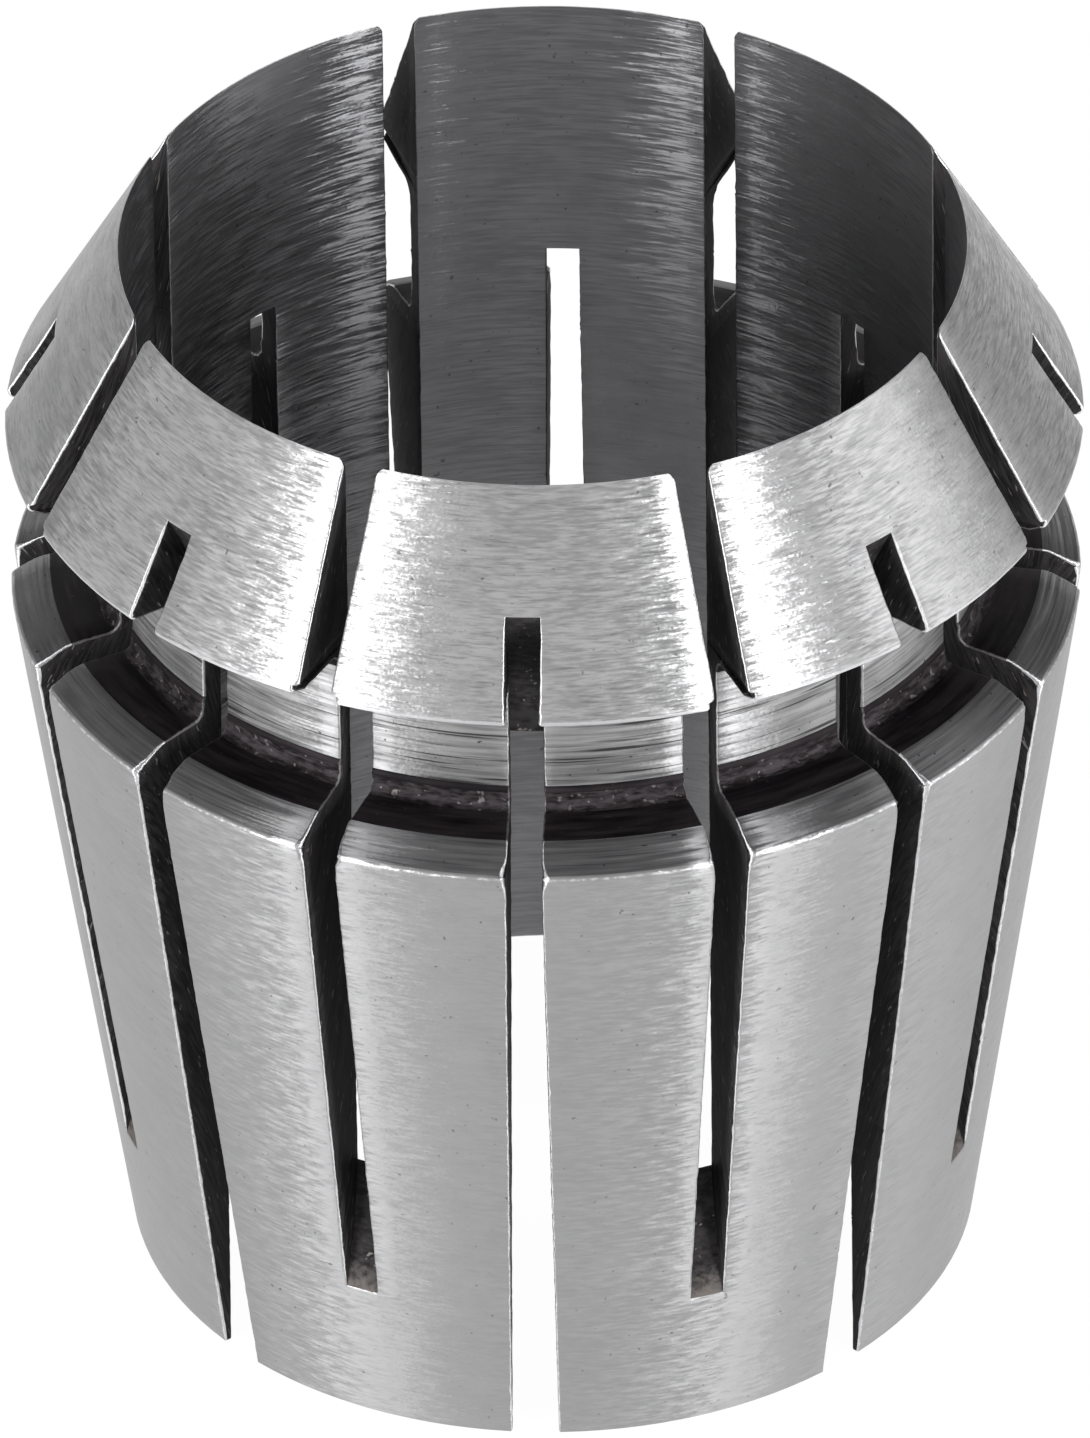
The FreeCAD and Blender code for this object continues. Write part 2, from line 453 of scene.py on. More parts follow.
class Shell:
    # Collects grids of points and turns them into one closed mesh.
    def __init__(self):
        self.points, self.faces, self.uvs, self.shines, self.zones = [], [], [], [], []
        self.count = 0

    # A wrapped grid's last row joins its first. Faces that keep leaves out are open.
    def addGrid(self, points, uv, shine, zone, keep=None, wrap=False, flip=False):
        rows, columns = points.shape[:2]
        index = self.count + np.arange(rows * columns).reshape(rows, columns)
        ahead = np.roll(index, -1, 0) if wrap else index[1:]
        base = index if wrap else index[:-1]
        quads = np.stack([base[:, :-1], base[:, 1:], ahead[:, 1:], ahead[:, :-1]], -1)
        if flip:
            quads = quads[..., ::-1]
        zone = np.broadcast_to(np.asarray(zone).reshape(-1, 1), quads.shape[:2])
        keep = np.ones(quads.shape[:2], bool) if keep is None else keep
        self.points.append(points.reshape(-1, 3))
        self.uvs.append(uv.reshape(-1, 2))
        self.shines.append(np.broadcast_to(shine, (rows, columns)).reshape(-1))
        self.faces.extend(quads[keep].tolist())
        self.zones.extend(zone[keep].tolist())
        self.count += rows * columns

    def addFace(self, points, zone):
        self.points.append(points)
        self.uvs.append(np.zeros((len(points), 2)))
        self.shines.append(np.zeros(len(points)))
        self.faces.append(list(range(self.count, self.count + len(points))))
        self.zones.append(zone)
        self.count += len(points)

    def toObject(self, name, materials):
        data = bpy.data.meshes.new(name)
        points = np.concatenate(self.points) * millimetre
        data.from_pydata(points.tolist(), [], self.faces)
        corner = np.zeros(len(data.loops), np.int32)
        data.loops.foreach_get("vertex_index", corner)
        layer = data.uv_layers.new(name="grain")
        layer.data.foreach_set("uv", np.concatenate(self.uvs)[corner].astype(np.float32).ravel())
        # The edge colour's mask: painted highlights on edges and corners, and the scorch stain at a front
        # slot's end.
        shine = data.attributes.new("highlightAndScorchMark", "FLOAT", "CORNER")
        shine.data.foreach_set("value", np.concatenate(self.shines)[corner].astype(np.float32))
        for material in materials:
            data.materials.append(material)
        data.polygons.foreach_set("material_index", np.array(self.zones, np.int32))
        piece = bpy.data.objects.new(name, data)
        bpy.context.scene.collection.objects.link(piece)
        return piece


# The outside rows that a slot's walls have, and those that its floor has, from the bore outwards.
def slotRows(kindName):
    past = pastEnd[kindName]
    rows = np.arange(outsideCount)
    atEnd = int(np.argmin(np.abs(past[:outsideCount])))
    atBore = int(np.argmin(np.abs(past[insideIndex])))
    if slotKinds[kindName]["web"] > 0:
        return rows[:atEnd + 1], rows[atBore:atEnd + 1]
    return rows[atEnd:], rows[atEnd:atBore + 1][::-1]


# A slot's floor at its rows: radius = axle - sqrt(saw radius^2 - (z - axle's height)^2), bent at both
# ends to meet the rounded outline. It also gives the distance along the floor.
def slotFloor(kindName, floorRows):
    kind = slotKinds[kindName]
    first, last = insideIndex[floorRows[0]], floorRows[-1]
    plainR = loopR - slotBreak[kindName] * loopNormalR
    plainZ = loopZ - slotBreak[kindName] * loopNormalZ
    z = outsideZ[floorRows]
    r = kind["axle"] - np.sqrt(collet["sawRadius"] ** 2 - (z - kind["axleZ"]) ** 2)
    travel = np.abs(z - z[0])
    toFirst = np.exp(-travel / collet["floorFade"]) * (1 - travel / travel[-1])
    toLast = np.exp(-(travel[-1] - travel) / collet["floorFade"]) * travel / travel[-1]
    r = r + toFirst * (plainR[first] - r[0]) + toLast * (plainR[last] - r[-1])
    z = z + toFirst * (plainZ[first] - z[0]) + toLast * (plainZ[last] - z[-1])
    return r, z, travel


# Both walls of a slot and its floor. A wall's columns share out the way from each outside row to the
# bore's or, past the slot's end in the bore, to the floor. Wall and floor meet the outside at its end.
def addSlot(shell, kindName, angle, edgeBefore, edgeAfter):
    kind = slotKinds[kindName]
    wallRows, floorRows = slotRows(kindName)
    floorR, floorZ, travel = slotFloor(kindName, floorRows)
    share = wallShares[None, :]
    onFloor = np.isin(wallRows, floorRows)
    facing = insideIndex[wallRows]
    for side, edge in ((1, edgeAfter), (-1, edgeBefore)):
        outerR = loopR - edge["size"] * loopNormalR
        outerZ = loopZ - edge["size"] * loopNormalZ
        innerR, innerZ = outerR[insideIndex], outerZ[insideIndex]
        innerR[floorRows], innerZ[floorRows] = floorR, floorZ
        wallR = outerR[wallRows, None] * (1 - share) + innerR[wallRows, None] * share
        wallZ = outerZ[wallRows, None] * (1 - share) + innerZ[wallRows, None] * share
        # The saw's marks are arcs, so the grain is measured from its circle.
        sawMarks = wallZ - kind["web"] * np.sqrt(collet["sawRadius"] ** 2 - (kind["axle"] - wallR) ** 2)
        uv = np.stack([sawMarks, wallR], -1) + (collet["wallShift"] * side, 0)
        gap = halfGap(kindName, loopZ[wallRows])
        innerGap = np.where(onFloor, gap, halfGap(kindName, loopZ[facing]))
        gap = gap + edge["inset"][wallRows]
        innerGap = innerGap + np.where(onFloor, 0, edge["inset"][facing])
        chips = edge["wander"] - edge["inset"]
        offset = gap[:, None] * (1 - share) + innerGap[:, None] * share
        offset[:, 0] += chips[wallRows]
        offset[:, -1] += np.where(onFloor, 0, chips[facing])
        points = place(wallR, angle + side * np.arcsin(offset / wallR), wallZ)
        shell.addGrid(points, uv, 0.0, sawnZone, flip=side > 0)
        if kind["web"] < 0:
            # The wall's top edge, from its last row up to the rounded rim.
            rows = np.arange(outsideCount - 1, insideIndex[-1] + 1)
            offset = halfGap(kindName, loopZ[rows]) + edge["wander"][rows]
            overRim = place(outerR[rows], angle + side * np.arcsin(offset / outerR[rows]), outerZ[rows])
            cap = np.concatenate([overRim, points[-1, ::-1][1:-1]])
            shell.addFace(cap[::-1] if side < 0 else cap, sawnZone)

    across = np.linspace(-1, 1, collet["floorColumns"])
    offset = halfGap(kindName, outsideZ[floorRows])[:, None] * across
    turn = angle + np.arcsin(offset / floorR[:, None])
    points = place(floorR[:, None], turn, np.broadcast_to(floorZ[:, None], turn.shape))
    uv = np.stack(np.meshgrid(travel, across * (collet["sawWidth"] / 2), indexing="ij"), -1)
    scorched = np.clip(1 - (travel[-1] - travel) / collet["scorchLength"], 0, 1) * (kind["web"] < 0)
    shell.addGrid(points, uv, scorched[:, None], sawnZone, flip=kind["web"] < 0)


# The whole collet: sixteen strips joined by their webs, and sixteen slots between them.
def buildCollet(materials):
    shell = Shell()
    slotCount = 2 * collet["slotPairs"]
    slots = [("rear" if i % 2 == 0 else "front", i * halfPitch) for i in range(slotCount)]
    edges = [[sawnEdge(kind), sawnEdge(kind)] for kind, angle in slots]      # before and after each slot
    ahead = np.roll(np.arange(rowCount), -1)
    zone = zoneIndex[np.searchsorted(zoneStarts, loop + pastMark, side="right") - 1]
    for i, (kind, angle) in enumerate(slots):
        after = (i + 1) % slotCount
        nextKind = slots[after][0]
        strip = ((kind, angle), (nextKind, angle + halfPitch))
        points, turn, shine = stripSurface(strip, (edges[i][1], edges[after][0]))
        keep = np.ones((rowCount, points.shape[1] - 1), bool)
        for past, columns in ((pastEnd[kind], slice(0, 2)), (pastEnd[nextKind], slice(-2, None))):
            sawnAway = (past <= pastMark) & (past[ahead] <= pastMark)
            keep[:, columns] &= ~sawnAway[:, None]
        uv = np.stack([np.repeat(loop[:, None], points.shape[1], 1), turn * collet["mapRadius"]], -1)
        shell.addGrid(points, uv, shine, zone, keep, wrap=True)
        addSlot(shell, kind, angle, edges[i][0], edges[i][1])
    return shell.toObject("collet_steel", materials)


def hexColour(code):
    # sRGB hex to linear
    parts = [int(code[i:i + 2], 16) / 255 for i in (1, 3, 5)]
    return tuple(v / 12.92 if v <= 0.04045 else ((v + 0.055) / 1.055) ** 2.4 for v in parts) + (1.0,)


# One node: settings are its own fields, values its sockets, sources the sockets that feed it.
# A Mix node's sockets go by number: 0 for the factor, 2 and 3 for numbers, 6 and 7 for colours.
def add(tree, kind, values=None, sources=None, **settings):
    made = tree.nodes.new("ShaderNode" + kind)
    for name, value in settings.items():
        setattr(made, name, value)
    for name, value in (values or {}).items():
        made.inputs[name].default_value = value
    for name, source in (sources or {}).items():
        tree.links.new(source, made.inputs[name])
    return made


# Patterns that all finishes share. The first four are given in features per millimetre.
patterns = {
    "cloud": 0.5,             # stains 2 mm wide
    "specks": 3.5,            # pits 0.3 mm wide, some 3 times as coarse as real ones, so that they show
    "edgeGaps": 4.0,          # gaps of 0.25 mm in the bright edges
    "sparkle": 8.0,           # glints of 0.12 mm, also coarser than the real grain
    "broadRatio": 5,          # broad lines are this many times as coarse as fine ones
    "broadSpread": 3,         # and this many times as long
    "scratchRatio": 1.2,      # scratches are a little finer than fine lines
    "scratchSpread": 0.8,     # and a little longer
    "fineShare": 1.8,         # of the tone, in which the lines and the clouds are added up
    "broadShare": 0.6,
    "toneFrom": 1.25,         # the tone at which the dark and the light colour are reached
    "toneTo": 1.75,
    "pitSoft": 0.06,          # how soft the borders of pits and scratches are
    "scratchSoft": 0.12,
    "noiseFrom": 0.3,         # noise rarely leaves this range
    "noiseTo": 0.7,
    "noiseRoughness": 0.6,
}

# Detail of each pattern's noise, and how far it is moved so that no two of them match.
noises = {
    "fine": (2.0, 0.0),
    "broad": (2.0, 31.0),
    "cloud": (3.0, 7.0),
    "specks": (1.0, 13.0),
    "scratch": (1.0, 47.0),
    "edgeGaps": (2.0, 3.0),
    "sparkle": (1.0, 19.0),
}


# Noise drawn out into grinding lines, in features per millimetre: across the lines by the distance
# along the outline, which is the map's first coordinate, and along them by x and y, so that the
# pattern has no seam round the axis.
def grain(tree, name, across, along):
    detail, shift = noises[name]
    distance = add(tree, "SeparateXYZ", sources={"Vector": add(tree, "UVMap", uv_map="grain").outputs["UV"]})
    distance = add(tree, "Math", {1: across}, {0: distance.outputs["X"]}, operation="MULTIPLY").outputs[0]
    offset = add(tree, "CombineXYZ", {"X": shift, "Y": shift}, {"Z": distance}).outputs["Vector"]
    inPlan = (along / millimetre, along / millimetre, 0)
    place = add(tree, "VectorMath", {1: inPlan}, {0: add(tree, "TexCoord").outputs["Object"], 2: offset},
                operation="MULTIPLY_ADD").outputs["Vector"]
    return add(tree, "TexNoise", {"Scale": 1.0, "Detail": detail, "Roughness": patterns["noiseRoughness"]},
               {"Vector": place}, noise_dimensions="3D").outputs["Fac"]


# A worked steel surface. Grinding lines run round the axis, so a highlight is drawn out along it,
# and each line leans a little sideways, which breaks the ends of the highlight into fine streaks.
def steel(finish):
    look = {**plainFinish, **finish}
    material = bpy.data.materials.new(look["material"])
    material.use_nodes = True
    tree = material.node_tree
    tree.nodes.clear()
    lines, along = look["linesPerMm"], look["lineSpread"]
    fine = grain(tree, "fine", lines, along)
    broad = grain(tree, "broad", lines / patterns["broadRatio"], along / patterns["broadSpread"])
    scratch = grain(tree, "scratch", lines * patterns["scratchRatio"], along * patterns["scratchSpread"])
    cloud, specks, edgeGaps, sparkle = (grain(tree, name, patterns[name], patterns[name])
                                        for name in ("cloud", "specks", "edgeGaps", "sparkle"))
    noise = {"From Min": patterns["noiseFrom"], "From Max": patterns["noiseTo"]}

    # Fine lines on broad ones and clouds, from the dark colour to the light one.
    drifting = add(tree, "Math", sources={0: broad, 1: cloud}, operation="ADD").outputs[0]
    tone = add(tree, "Math", {1: patterns["broadShare"]}, {0: drifting}, operation="MULTIPLY").outputs[0]
    tone = add(tree, "Math", {1: patterns["fineShare"]}, {0: fine, 2: tone},
               operation="MULTIPLY_ADD").outputs[0]
    shade = add(tree, "MapRange", {"From Min": patterns["toneFrom"], "From Max": patterns["toneTo"]},
                {"Value": tone}).outputs["Result"]
    colour = add(tree, "Mix", {6: hexColour(look["dark"]), 7: hexColour(look["light"])}, {0: shade},
                 data_type="RGBA").outputs[2]

    # Pits, then single scratches, in the pits' colour.
    pitTo = look["pitFrom"] + patterns["pitSoft"]
    pit = add(tree, "MapRange", {"From Min": look["pitFrom"], "From Max": pitTo,
                                 "To Max": look["pitDepth"]}, {"Value": specks}).outputs["Result"]
    colour = add(tree, "Mix", {7: hexColour(look["pit"])}, {0: pit, 6: colour}, data_type="RGBA").outputs[2]
    scratchTo = look["scratchFrom"] + patterns["scratchSoft"]
    scratch = add(tree, "MapRange", {"From Min": look["scratchFrom"], "From Max": scratchTo,
                                     "To Max": look["scratchDepth"]}, {"Value": scratch}).outputs["Result"]
    colour = add(tree, "Mix", {7: hexColour(look["pit"])}, {0: scratch, 6: colour},
                 data_type="RGBA").outputs[2]

    # The painted highlights on the broken edges and corners, and on a sawn floor the stain, with gaps in
    # them.
    shine = add(tree, "Attribute", attribute_name="highlightAndScorchMark").outputs["Fac"]
    edge = add(tree, "Math", sources={0: shine, 1: edgeGaps}, operation="ADD").outputs[0]
    edgeTo = look["edgeFrom"] + look["edgeSoft"]
    edge = add(tree, "MapRange", {"From Min": look["edgeFrom"], "From Max": edgeTo},
               {"Value": edge}).outputs["Result"]
    colour = add(tree, "Mix", {7: hexColour(look["edge"])}, {0: edge, 6: colour}, data_type="RGBA").outputs[2]

    # Roughness goes with the lines, and so does the normal's lean, which is written as a tangent colour
    # where 0.5 is upright. The lines' own relief comes on top.
    roughness = add(tree, "MapRange", {**noise, "To Min": look["roughness"] - look["roughVary"],
                                       "To Max": look["roughness"] + look["roughVary"]},
                    {"Value": fine}).outputs["Result"]
    lean = add(tree, "Math", {1: 0.5}, {0: fine}, operation="SUBTRACT").outputs[0]
    lean = add(tree, "Math", {1: look["lean"], 2: 0.5}, {0: lean}, operation="MULTIPLY_ADD").outputs[0]
    sparkle = add(tree, "MapRange", {**noise, "To Min": -look["sparkle"], "To Max": look["sparkle"]},
                  {"Value": sparkle}).outputs["Result"]
    lean = add(tree, "Math", sources={0: lean, 1: sparkle}, operation="ADD").outputs[0]
    leaning = add(tree, "CombineColor", {"Red": 0.5, "Blue": 1.0}, {"Green": lean})
    leant = add(tree, "NormalMap", sources={"Color": leaning.outputs["Color"]}, space="TANGENT",
                uv_map="grain")
    height = add(tree, "Math", sources={0: tone, 1: pit}, operation="SUBTRACT").outputs[0]
    height = add(tree, "Math", sources={0: height, 1: scratch}, operation="SUBTRACT").outputs[0]
    bump = add(tree, "Bump", {"Strength": 1.0, "Distance": look["lineDepth"] * millimetre},
               {"Height": height, "Normal": leant.outputs["Normal"]})
    tangent = add(tree, "Tangent", direction_type="UV_MAP", uv_map="grain")
    shader = add(tree, "BsdfPrincipled", {"Metallic": look["metallic"], "Anisotropic": look["anisotropy"],
                                          "Specular IOR Level": look["specular"]},
                 {"Base Color": colour, "Roughness": roughness, "Normal": bump.outputs["Normal"],
                  "Tangent": tangent.outputs["Tangent"]})
    add(tree, "OutputMaterial", sources={"Surface": shader.outputs["BSDF"]})
    return material


# Hardened spring steel, one finish for each way that a zone was worked. Lines are given per millimetre,
# across and along. Real grinding lines are about 0.02 mm apart, too fine to show, so the body, the cone
# and the bore have them drawn 5 to 7 times as coarse. What most finishes share is in plainFinish.
plainFinish = {"metallic": 1.0, "specular": 0.5, "edgeFrom": 1.0, "edgeSoft": 0.2}
# Each finish's edge colour goes on its broken edges and corners: a painted highlight outside and in the
# groove, near the steel's own grey in the bore; on the sawn floors it is the scorch stain.
finishes = {
    # Ground, then worn by the holder: satin grey, with soft bands along it that end in fine streaks.
    "body": {"material": "ground_steel_body",
             "light": "#aaaaab", "dark": "#a1a1a2", "pit": "#5a5858", "pitFrom": 0.73, "pitDepth": 0.6,
             "scratchFrom": 0.58, "scratchDepth": 0.06, "edge": "#cfcfd1",
             "roughness": 0.37, "roughVary": 0.02, "anisotropy": 0.9,
             "linesPerMm": 7.5, "lineSpread": 1.2, "lineDepth": 0.0005, "lean": 0.25, "sparkle": 0.016},
    # Ground a little coarser: bright, with short dark dashes round the axis and glints near the bands.
    "cone": {"material": "ground_steel_cone",
             "light": "#c8c8c9", "dark": "#a6a6a7", "pit": "#5a5858", "pitFrom": 0.72, "pitDepth": 0.6,
             "scratchFrom": 0.57, "scratchDepth": 0.3, "edge": "#d6d6d8",
             "roughness": 0.44, "roughVary": 0.03, "anisotropy": 0.93,
             "linesPerMm": 9.0, "lineSpread": 1.2, "lineDepth": 0.001, "lean": 0.17, "sparkle": 0.018},
    # Turned before hardening: a duller band with long lines and dark specks.
    "crest": {"material": "turned_steel_crest",
              "light": "#8c8c8d", "dark": "#727274", "pit": "#2a2628", "pitFrom": 0.74, "pitDepth": 0.8,
              "scratchFrom": 0.6, "scratchDepth": 0.4, "edge": "#b8b8ba",
              "roughness": 0.42, "roughVary": 0.02, "anisotropy": 1.0,
              "linesPerMm": 7.0, "lineSpread": 0.2, "lineDepth": 0.001, "lean": 0.2, "sparkle": 0.01},
    # Black oxide left by hardening on the groove's flanks: nearly black, a trace violet.
    "oxide": {"material": "hardening_oxide",
              "light": "#353133", "dark": "#201e20", "pit": "#4a3e46", "pitFrom": 0.7, "pitDepth": 0.5,
              "scratchFrom": 0.6, "scratchDepth": 0.2, "edge": "#6a686a", "edgeSoft": 0.3,
              "roughness": 0.6, "roughVary": 0.1, "anisotropy": 0.2,
              "linesPerMm": 3.0, "lineSpread": 0.3, "lineDepth": 0.004, "lean": 0.05, "sparkle": 0.0},
    # The unfinished foot of the neck: oxide over a rough turned skin, dark with grey crumbs.
    "root": {"material": "oxide_on_rough_steel",
             "light": "#4a4649", "dark": "#262325", "pit": "#8c8686", "pitFrom": 0.66, "pitDepth": 0.55,
             "scratchFrom": 0.6, "scratchDepth": 0.1, "edge": "#8a888a", "edgeSoft": 0.3,
             "roughness": 0.66, "roughVary": 0.1, "anisotropy": 0.1,
             "linesPerMm": 6.0, "lineSpread": 2.0, "lineDepth": 0.006, "lean": 0.05, "sparkle": 0.0},
    # Turned bright: long lines and thin dark scratches round the axis.
    "neck": {"material": "turned_steel_neck",
             "light": "#b4b4b5", "dark": "#8a8a8b", "pit": "#3c3a3a", "pitFrom": 0.74, "pitDepth": 0.8,
             "scratchFrom": 0.59, "scratchDepth": 0.9, "edge": "#b8b8ba",
             "roughness": 0.38, "roughVary": 0.04, "anisotropy": 0.9,
             "linesPerMm": 6.0, "lineSpread": 0.25, "lineDepth": 0.001, "lean": 0.12, "sparkle": 0.02},
    # Ground bore: dark where it faces the collet's own inside, with crisp streaks in its bright bands.
    "bore": {"material": "ground_steel_bore",
             "light": "#8d8d8f", "dark": "#7c7c7e", "pit": "#3a3a3c", "pitFrom": 0.72, "pitDepth": 0.6,
             "scratchFrom": 0.6, "scratchDepth": 0.2, "edge": "#808082", "edgeSoft": 0.3,
             "roughness": 0.39, "roughVary": 0.03, "anisotropy": 1.0,
             "linesPerMm": 10.0, "lineSpread": 0.6, "lineDepth": 0.0006, "lean": 0.3, "sparkle": 0.015},
    # Sawn and blackened: matt oxide, no metal to the eye, almost black, with a few specks of bare steel.
    "sawn": {"material": "sawn_oxidised_steel",
             "light": "#383637", "dark": "#1c1a1b", "pit": "#8a8682", "pitFrom": 0.69, "pitDepth": 0.7,
             "scratchFrom": 0.6, "scratchDepth": 0.05, "edge": "#5f5a57", "edgeFrom": 1.05, "edgeSoft": 0.5,
             "metallic": 0.0, "specular": 0.15, "roughness": 0.75, "roughVary": 0.1, "anisotropy": 0.0,
             "linesPerMm": 4.0, "lineSpread": 2.0, "lineDepth": 0.003, "lean": 0.05, "sparkle": 0.0},
}
steels = [steel(finishes[zone]) for zone in zoneNames]
print("finishes", len(steels))

# Metres and degrees: points this near are one, faces thinner than this go, edges over this stay sharp.
finishing = {"weld": 3e-7, "sliver": 1e-7, "sharp": 40}

piece = buildCollet(steels)
welded = bmesh.new()
welded.from_mesh(piece.data)
bmesh.ops.remove_doubles(welded, verts=welded.verts, dist=finishing["weld"])
bmesh.ops.dissolve_degenerate(welded, edges=welded.edges, dist=finishing["sliver"])
welded.to_mesh(piece.data)
welded.free()
piece.data.polygons.foreach_set("use_smooth", np.ones(len(piece.data.polygons), bool))
piece.data.set_sharp_from_angle(angle=math.radians(finishing["sharp"]))
keepFlat = piece.modifiers.new("flats", "WEIGHTED_NORMAL")
keepFlat.keep_sharp = True
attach(piece, "root")
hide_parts("collet")
print("collet", len(piece.data.polygons), "faces")

# The camera stands where the photograph was taken from.
viewpoint = {
    "turn": 2.79,             # degrees round from the rear slot that faces the viewer
    "side": -0.266,           # millimetres to the side, back, and above the nose
    "back": 730.319,
    "above": 497.983,
    "elevation": 35.464,      # degrees that it looks down
    "heading": 0.012,
    "roll": -0.677,
    "lens": 583.56,
    "clipStart": 0.05,        # metres
    "clipEnd": 50,
}


def addCamera():
    v = viewpoint
    turn = Matrix.Rotation(math.radians(v["turn"]), 3, "Z")
    heading, elevation, roll = (math.radians(v[k]) for k in ("heading", "elevation", "roll"))
    forward = Vector((math.sin(heading) * math.cos(elevation), math.cos(heading) * math.cos(elevation),
                      -math.sin(elevation)))
    right = Vector((math.cos(heading), -math.sin(heading), 0))
    up = right.cross(forward)
    rightRolled = math.cos(roll) * right + math.sin(roll) * up
    upRolled = -math.sin(roll) * right + math.cos(roll) * up
    axes = Matrix([turn @ rightRolled, turn @ upRolled, turn @ -forward]).transposed()
    spot = turn @ Vector((v["side"], -v["back"], v["above"]))
    spot.z += noseZ
    camera = bpy.data.cameras.new("camera")
    camera.lens = v["lens"]
    camera.clip_start = v["clipStart"]
    camera.clip_end = v["clipEnd"]
    stand = bpy.data.objects.new("camera", camera)
    stand.matrix_world = Matrix.Translation(spot * millimetre) @ axes.to_4x4()
    bpy.context.scene.collection.objects.link(stand)
    bpy.context.scene.camera = stand


addCamera()

# Soft boxes round the collet, each aimed at its middle: degrees from the camera's side, metres.
lamps = {
    "left": {"round": -45, "up": 16, "away": 0.40, "wide": 0.12, "high": 0.24, "radiance": 12.0},
    "leftLow": {"round": -62, "up": 6, "away": 0.42, "wide": 0.24, "high": 0.09, "radiance": 2.0},
    "right": {"round": 42, "up": 16, "away": 0.40, "wide": 0.08, "high": 0.24, "radiance": 16.5},
    "rightLow": {"round": 80, "up": 6, "away": 0.42, "wide": 0.22, "high": 0.09, "radiance": 5.5},
}
lampTarget = Vector((0, 0, 0.022))


# The lamp's power is radiance * pi * area, so that a box may change its size and look as bright.
def addLamp(name, lamp):
    light = bpy.data.lights.new(name, "AREA")
    light.shape = "RECTANGLE"
    light.size, light.size_y = lamp["wide"], lamp["high"]
    light.energy = lamp["radiance"] * math.pi * lamp["wide"] * lamp["high"]
    around = math.radians(lamp["round"] + viewpoint["turn"])
    up = math.radians(lamp["up"])
    away = Vector((math.sin(around) * math.cos(up), -math.cos(around) * math.cos(up), math.sin(up)))
    holder = bpy.data.objects.new(name, light)
    holder.location = lampTarget + away * lamp["away"]
    holder.rotation_mode = "QUATERNION"
    holder.rotation_quaternion = (-away).to_track_quat("-Z", "Y")
    holder.visible_camera = False
    bpy.context.scene.collection.objects.link(holder)


for name, lamp in lamps.items():
    addLamp(name, lamp)

# The room: a white sweep and white walls under a dimmer ceiling, which begins at these degrees up. Grey
# flags stand against the walls behind the collet, and wide ones hang under the ceiling at its sides.
studio = {
    "walls": 1.2,
    "ceiling": 0.62,
    "ceilingFrom": 22,
    "ceilingTo": 36,
    "sweep": "#e6e6e6",
    "sweepGlow": 0.975,
    "sweepMatt": 0.05,
    "sweepHalf": 3.0,         # metres
    "sweepDrop": 0.00002,     # just clear of the collet's rear face
}

# Degrees round from the camera's side, what the flag takes off its wall or ceiling, and its half widths.
flags = {
    "walls": [{"round": -137, "takes": 0.78, "from": 27, "to": 10},
              {"round": 138, "takes": 0.82, "from": 27, "to": 10}],
    "ceiling": [{"round": -98, "takes": 0.72, "from": 62, "to": 28},
                {"round": 92, "takes": 0.8, "from": 68, "to": 30}],
}


# What is left of the walls or the ceiling in each direction, beside their flags.
def flagged(tree, level, over):
    left = add(tree, "Value").outputs[0]
    left.default_value = studio[over]
    for flag in flags[over]:
        around = math.radians(flag["round"] + viewpoint["turn"])
        facing = add(tree, "VectorMath", {1: (math.sin(around), -math.cos(around), 0)}, {0: level},
                     operation="DOT_PRODUCT").outputs["Value"]
        edge, core = (math.cos(math.radians(flag[k])) for k in ("from", "to"))
        grey = add(tree, "MapRange", {"From Min": edge, "From Max": core, "To Min": 1.0,
                                      "To Max": 1 - flag["takes"]}, {"Value": facing},
                   interpolation_type="SMOOTHSTEP").outputs["Result"]
        left = add(tree, "Math", sources={0: left, 1: grey}, operation="MULTIPLY").outputs[0]
    return left


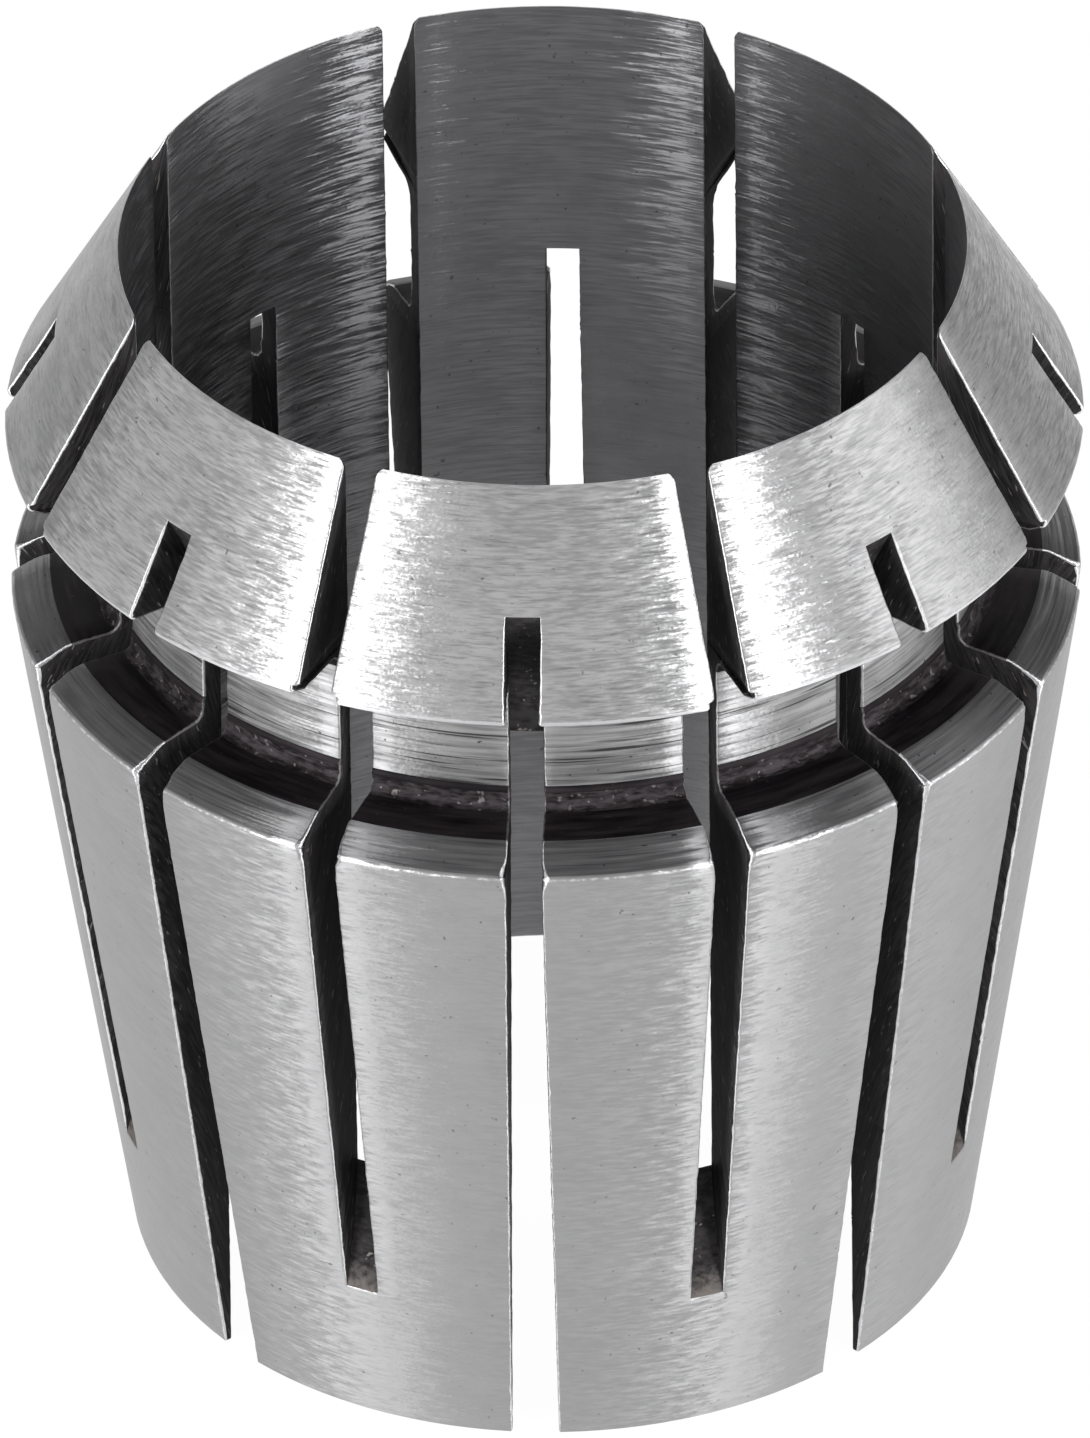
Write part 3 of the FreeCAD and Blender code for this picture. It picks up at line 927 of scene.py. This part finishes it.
def addWorld():
    world = bpy.data.worlds.new("studio")
    world.use_nodes = True
    tree = world.node_tree
    tree.nodes.clear()
    path = add(tree, "LightPath")
    direction = add(tree, "TexCoord").outputs["Generated"]
    up = add(tree, "SeparateXYZ", sources={"Vector": direction}).outputs["Z"]
    level = add(tree, "VectorMath", {1: (1, 1, 0)}, {0: direction}, operation="MULTIPLY").outputs["Vector"]
    level = add(tree, "VectorMath", sources={0: level}, operation="NORMALIZE").outputs["Vector"]
    low, high = (math.sin(math.radians(studio[k])) for k in ("ceilingFrom", "ceilingTo"))
    overhead = add(tree, "MapRange", {"From Min": low, "From Max": high}, {"Value": up},
                   interpolation_type="SMOOTHSTEP").outputs["Result"]
    room = add(tree, "Mix", sources={0: overhead, 2: flagged(tree, level, "walls"),
                                     3: flagged(tree, level, "ceiling")}).outputs[0]
    strength = add(tree, "Mix", {3: 1.0}, {0: path.outputs["Is Camera Ray"], 2: room})
    light = add(tree, "Background", {"Color": (1, 1, 1, 1)}, {"Strength": strength.outputs[0]})
    add(tree, "OutputWorld", sources={"Surface": light.outputs["Background"]})
    bpy.context.scene.world = world


# The sweep glows white to the camera and in the steel, and keeps a faint shadow.
def addFloor():
    data = bpy.data.meshes.new("floor")
    half = studio["sweepHalf"]
    corners = [(-half, -half, 0), (half, -half, 0), (half, half, 0), (-half, half, 0)]
    data.from_pydata(corners, [], [(0, 1, 2, 3)])
    floor = bpy.data.objects.new("floor", data)
    floor.location.z = -studio["sweepDrop"]
    bpy.context.scene.collection.objects.link(floor)
    material = bpy.data.materials.new("white_sweep")
    material.use_nodes = True
    tree = material.node_tree
    tree.nodes.clear()
    path = add(tree, "LightPath")
    seen = add(tree, "Math", sources={0: path.outputs["Is Camera Ray"], 1: path.outputs["Is Glossy Ray"]},
               operation="MAXIMUM").outputs[0]
    seen = add(tree, "Math", sources={0: seen, 1: path.outputs["Is Transmission Ray"]},
               operation="MAXIMUM").outputs[0]
    matt = add(tree, "BsdfDiffuse", {"Color": hexColour(studio["sweep"])})
    faint = add(tree, "BsdfDiffuse", {"Color": (studio["sweepMatt"],) * 3 + (1.0,)})
    glow = add(tree, "Emission", {"Color": (1, 1, 1, 1), "Strength": studio["sweepGlow"]})
    both = add(tree, "AddShader", sources={0: faint.outputs[0], 1: glow.outputs[0]})
    mix = add(tree, "MixShader", sources={0: seen, 1: matt.outputs[0], 2: both.outputs[0]})
    add(tree, "OutputMaterial", sources={"Surface": mix.outputs[0]})
    data.materials.append(material)


addWorld()
addFloor()
bpy.context.scene.view_settings.view_transform = "Standard"
print("studio lit")
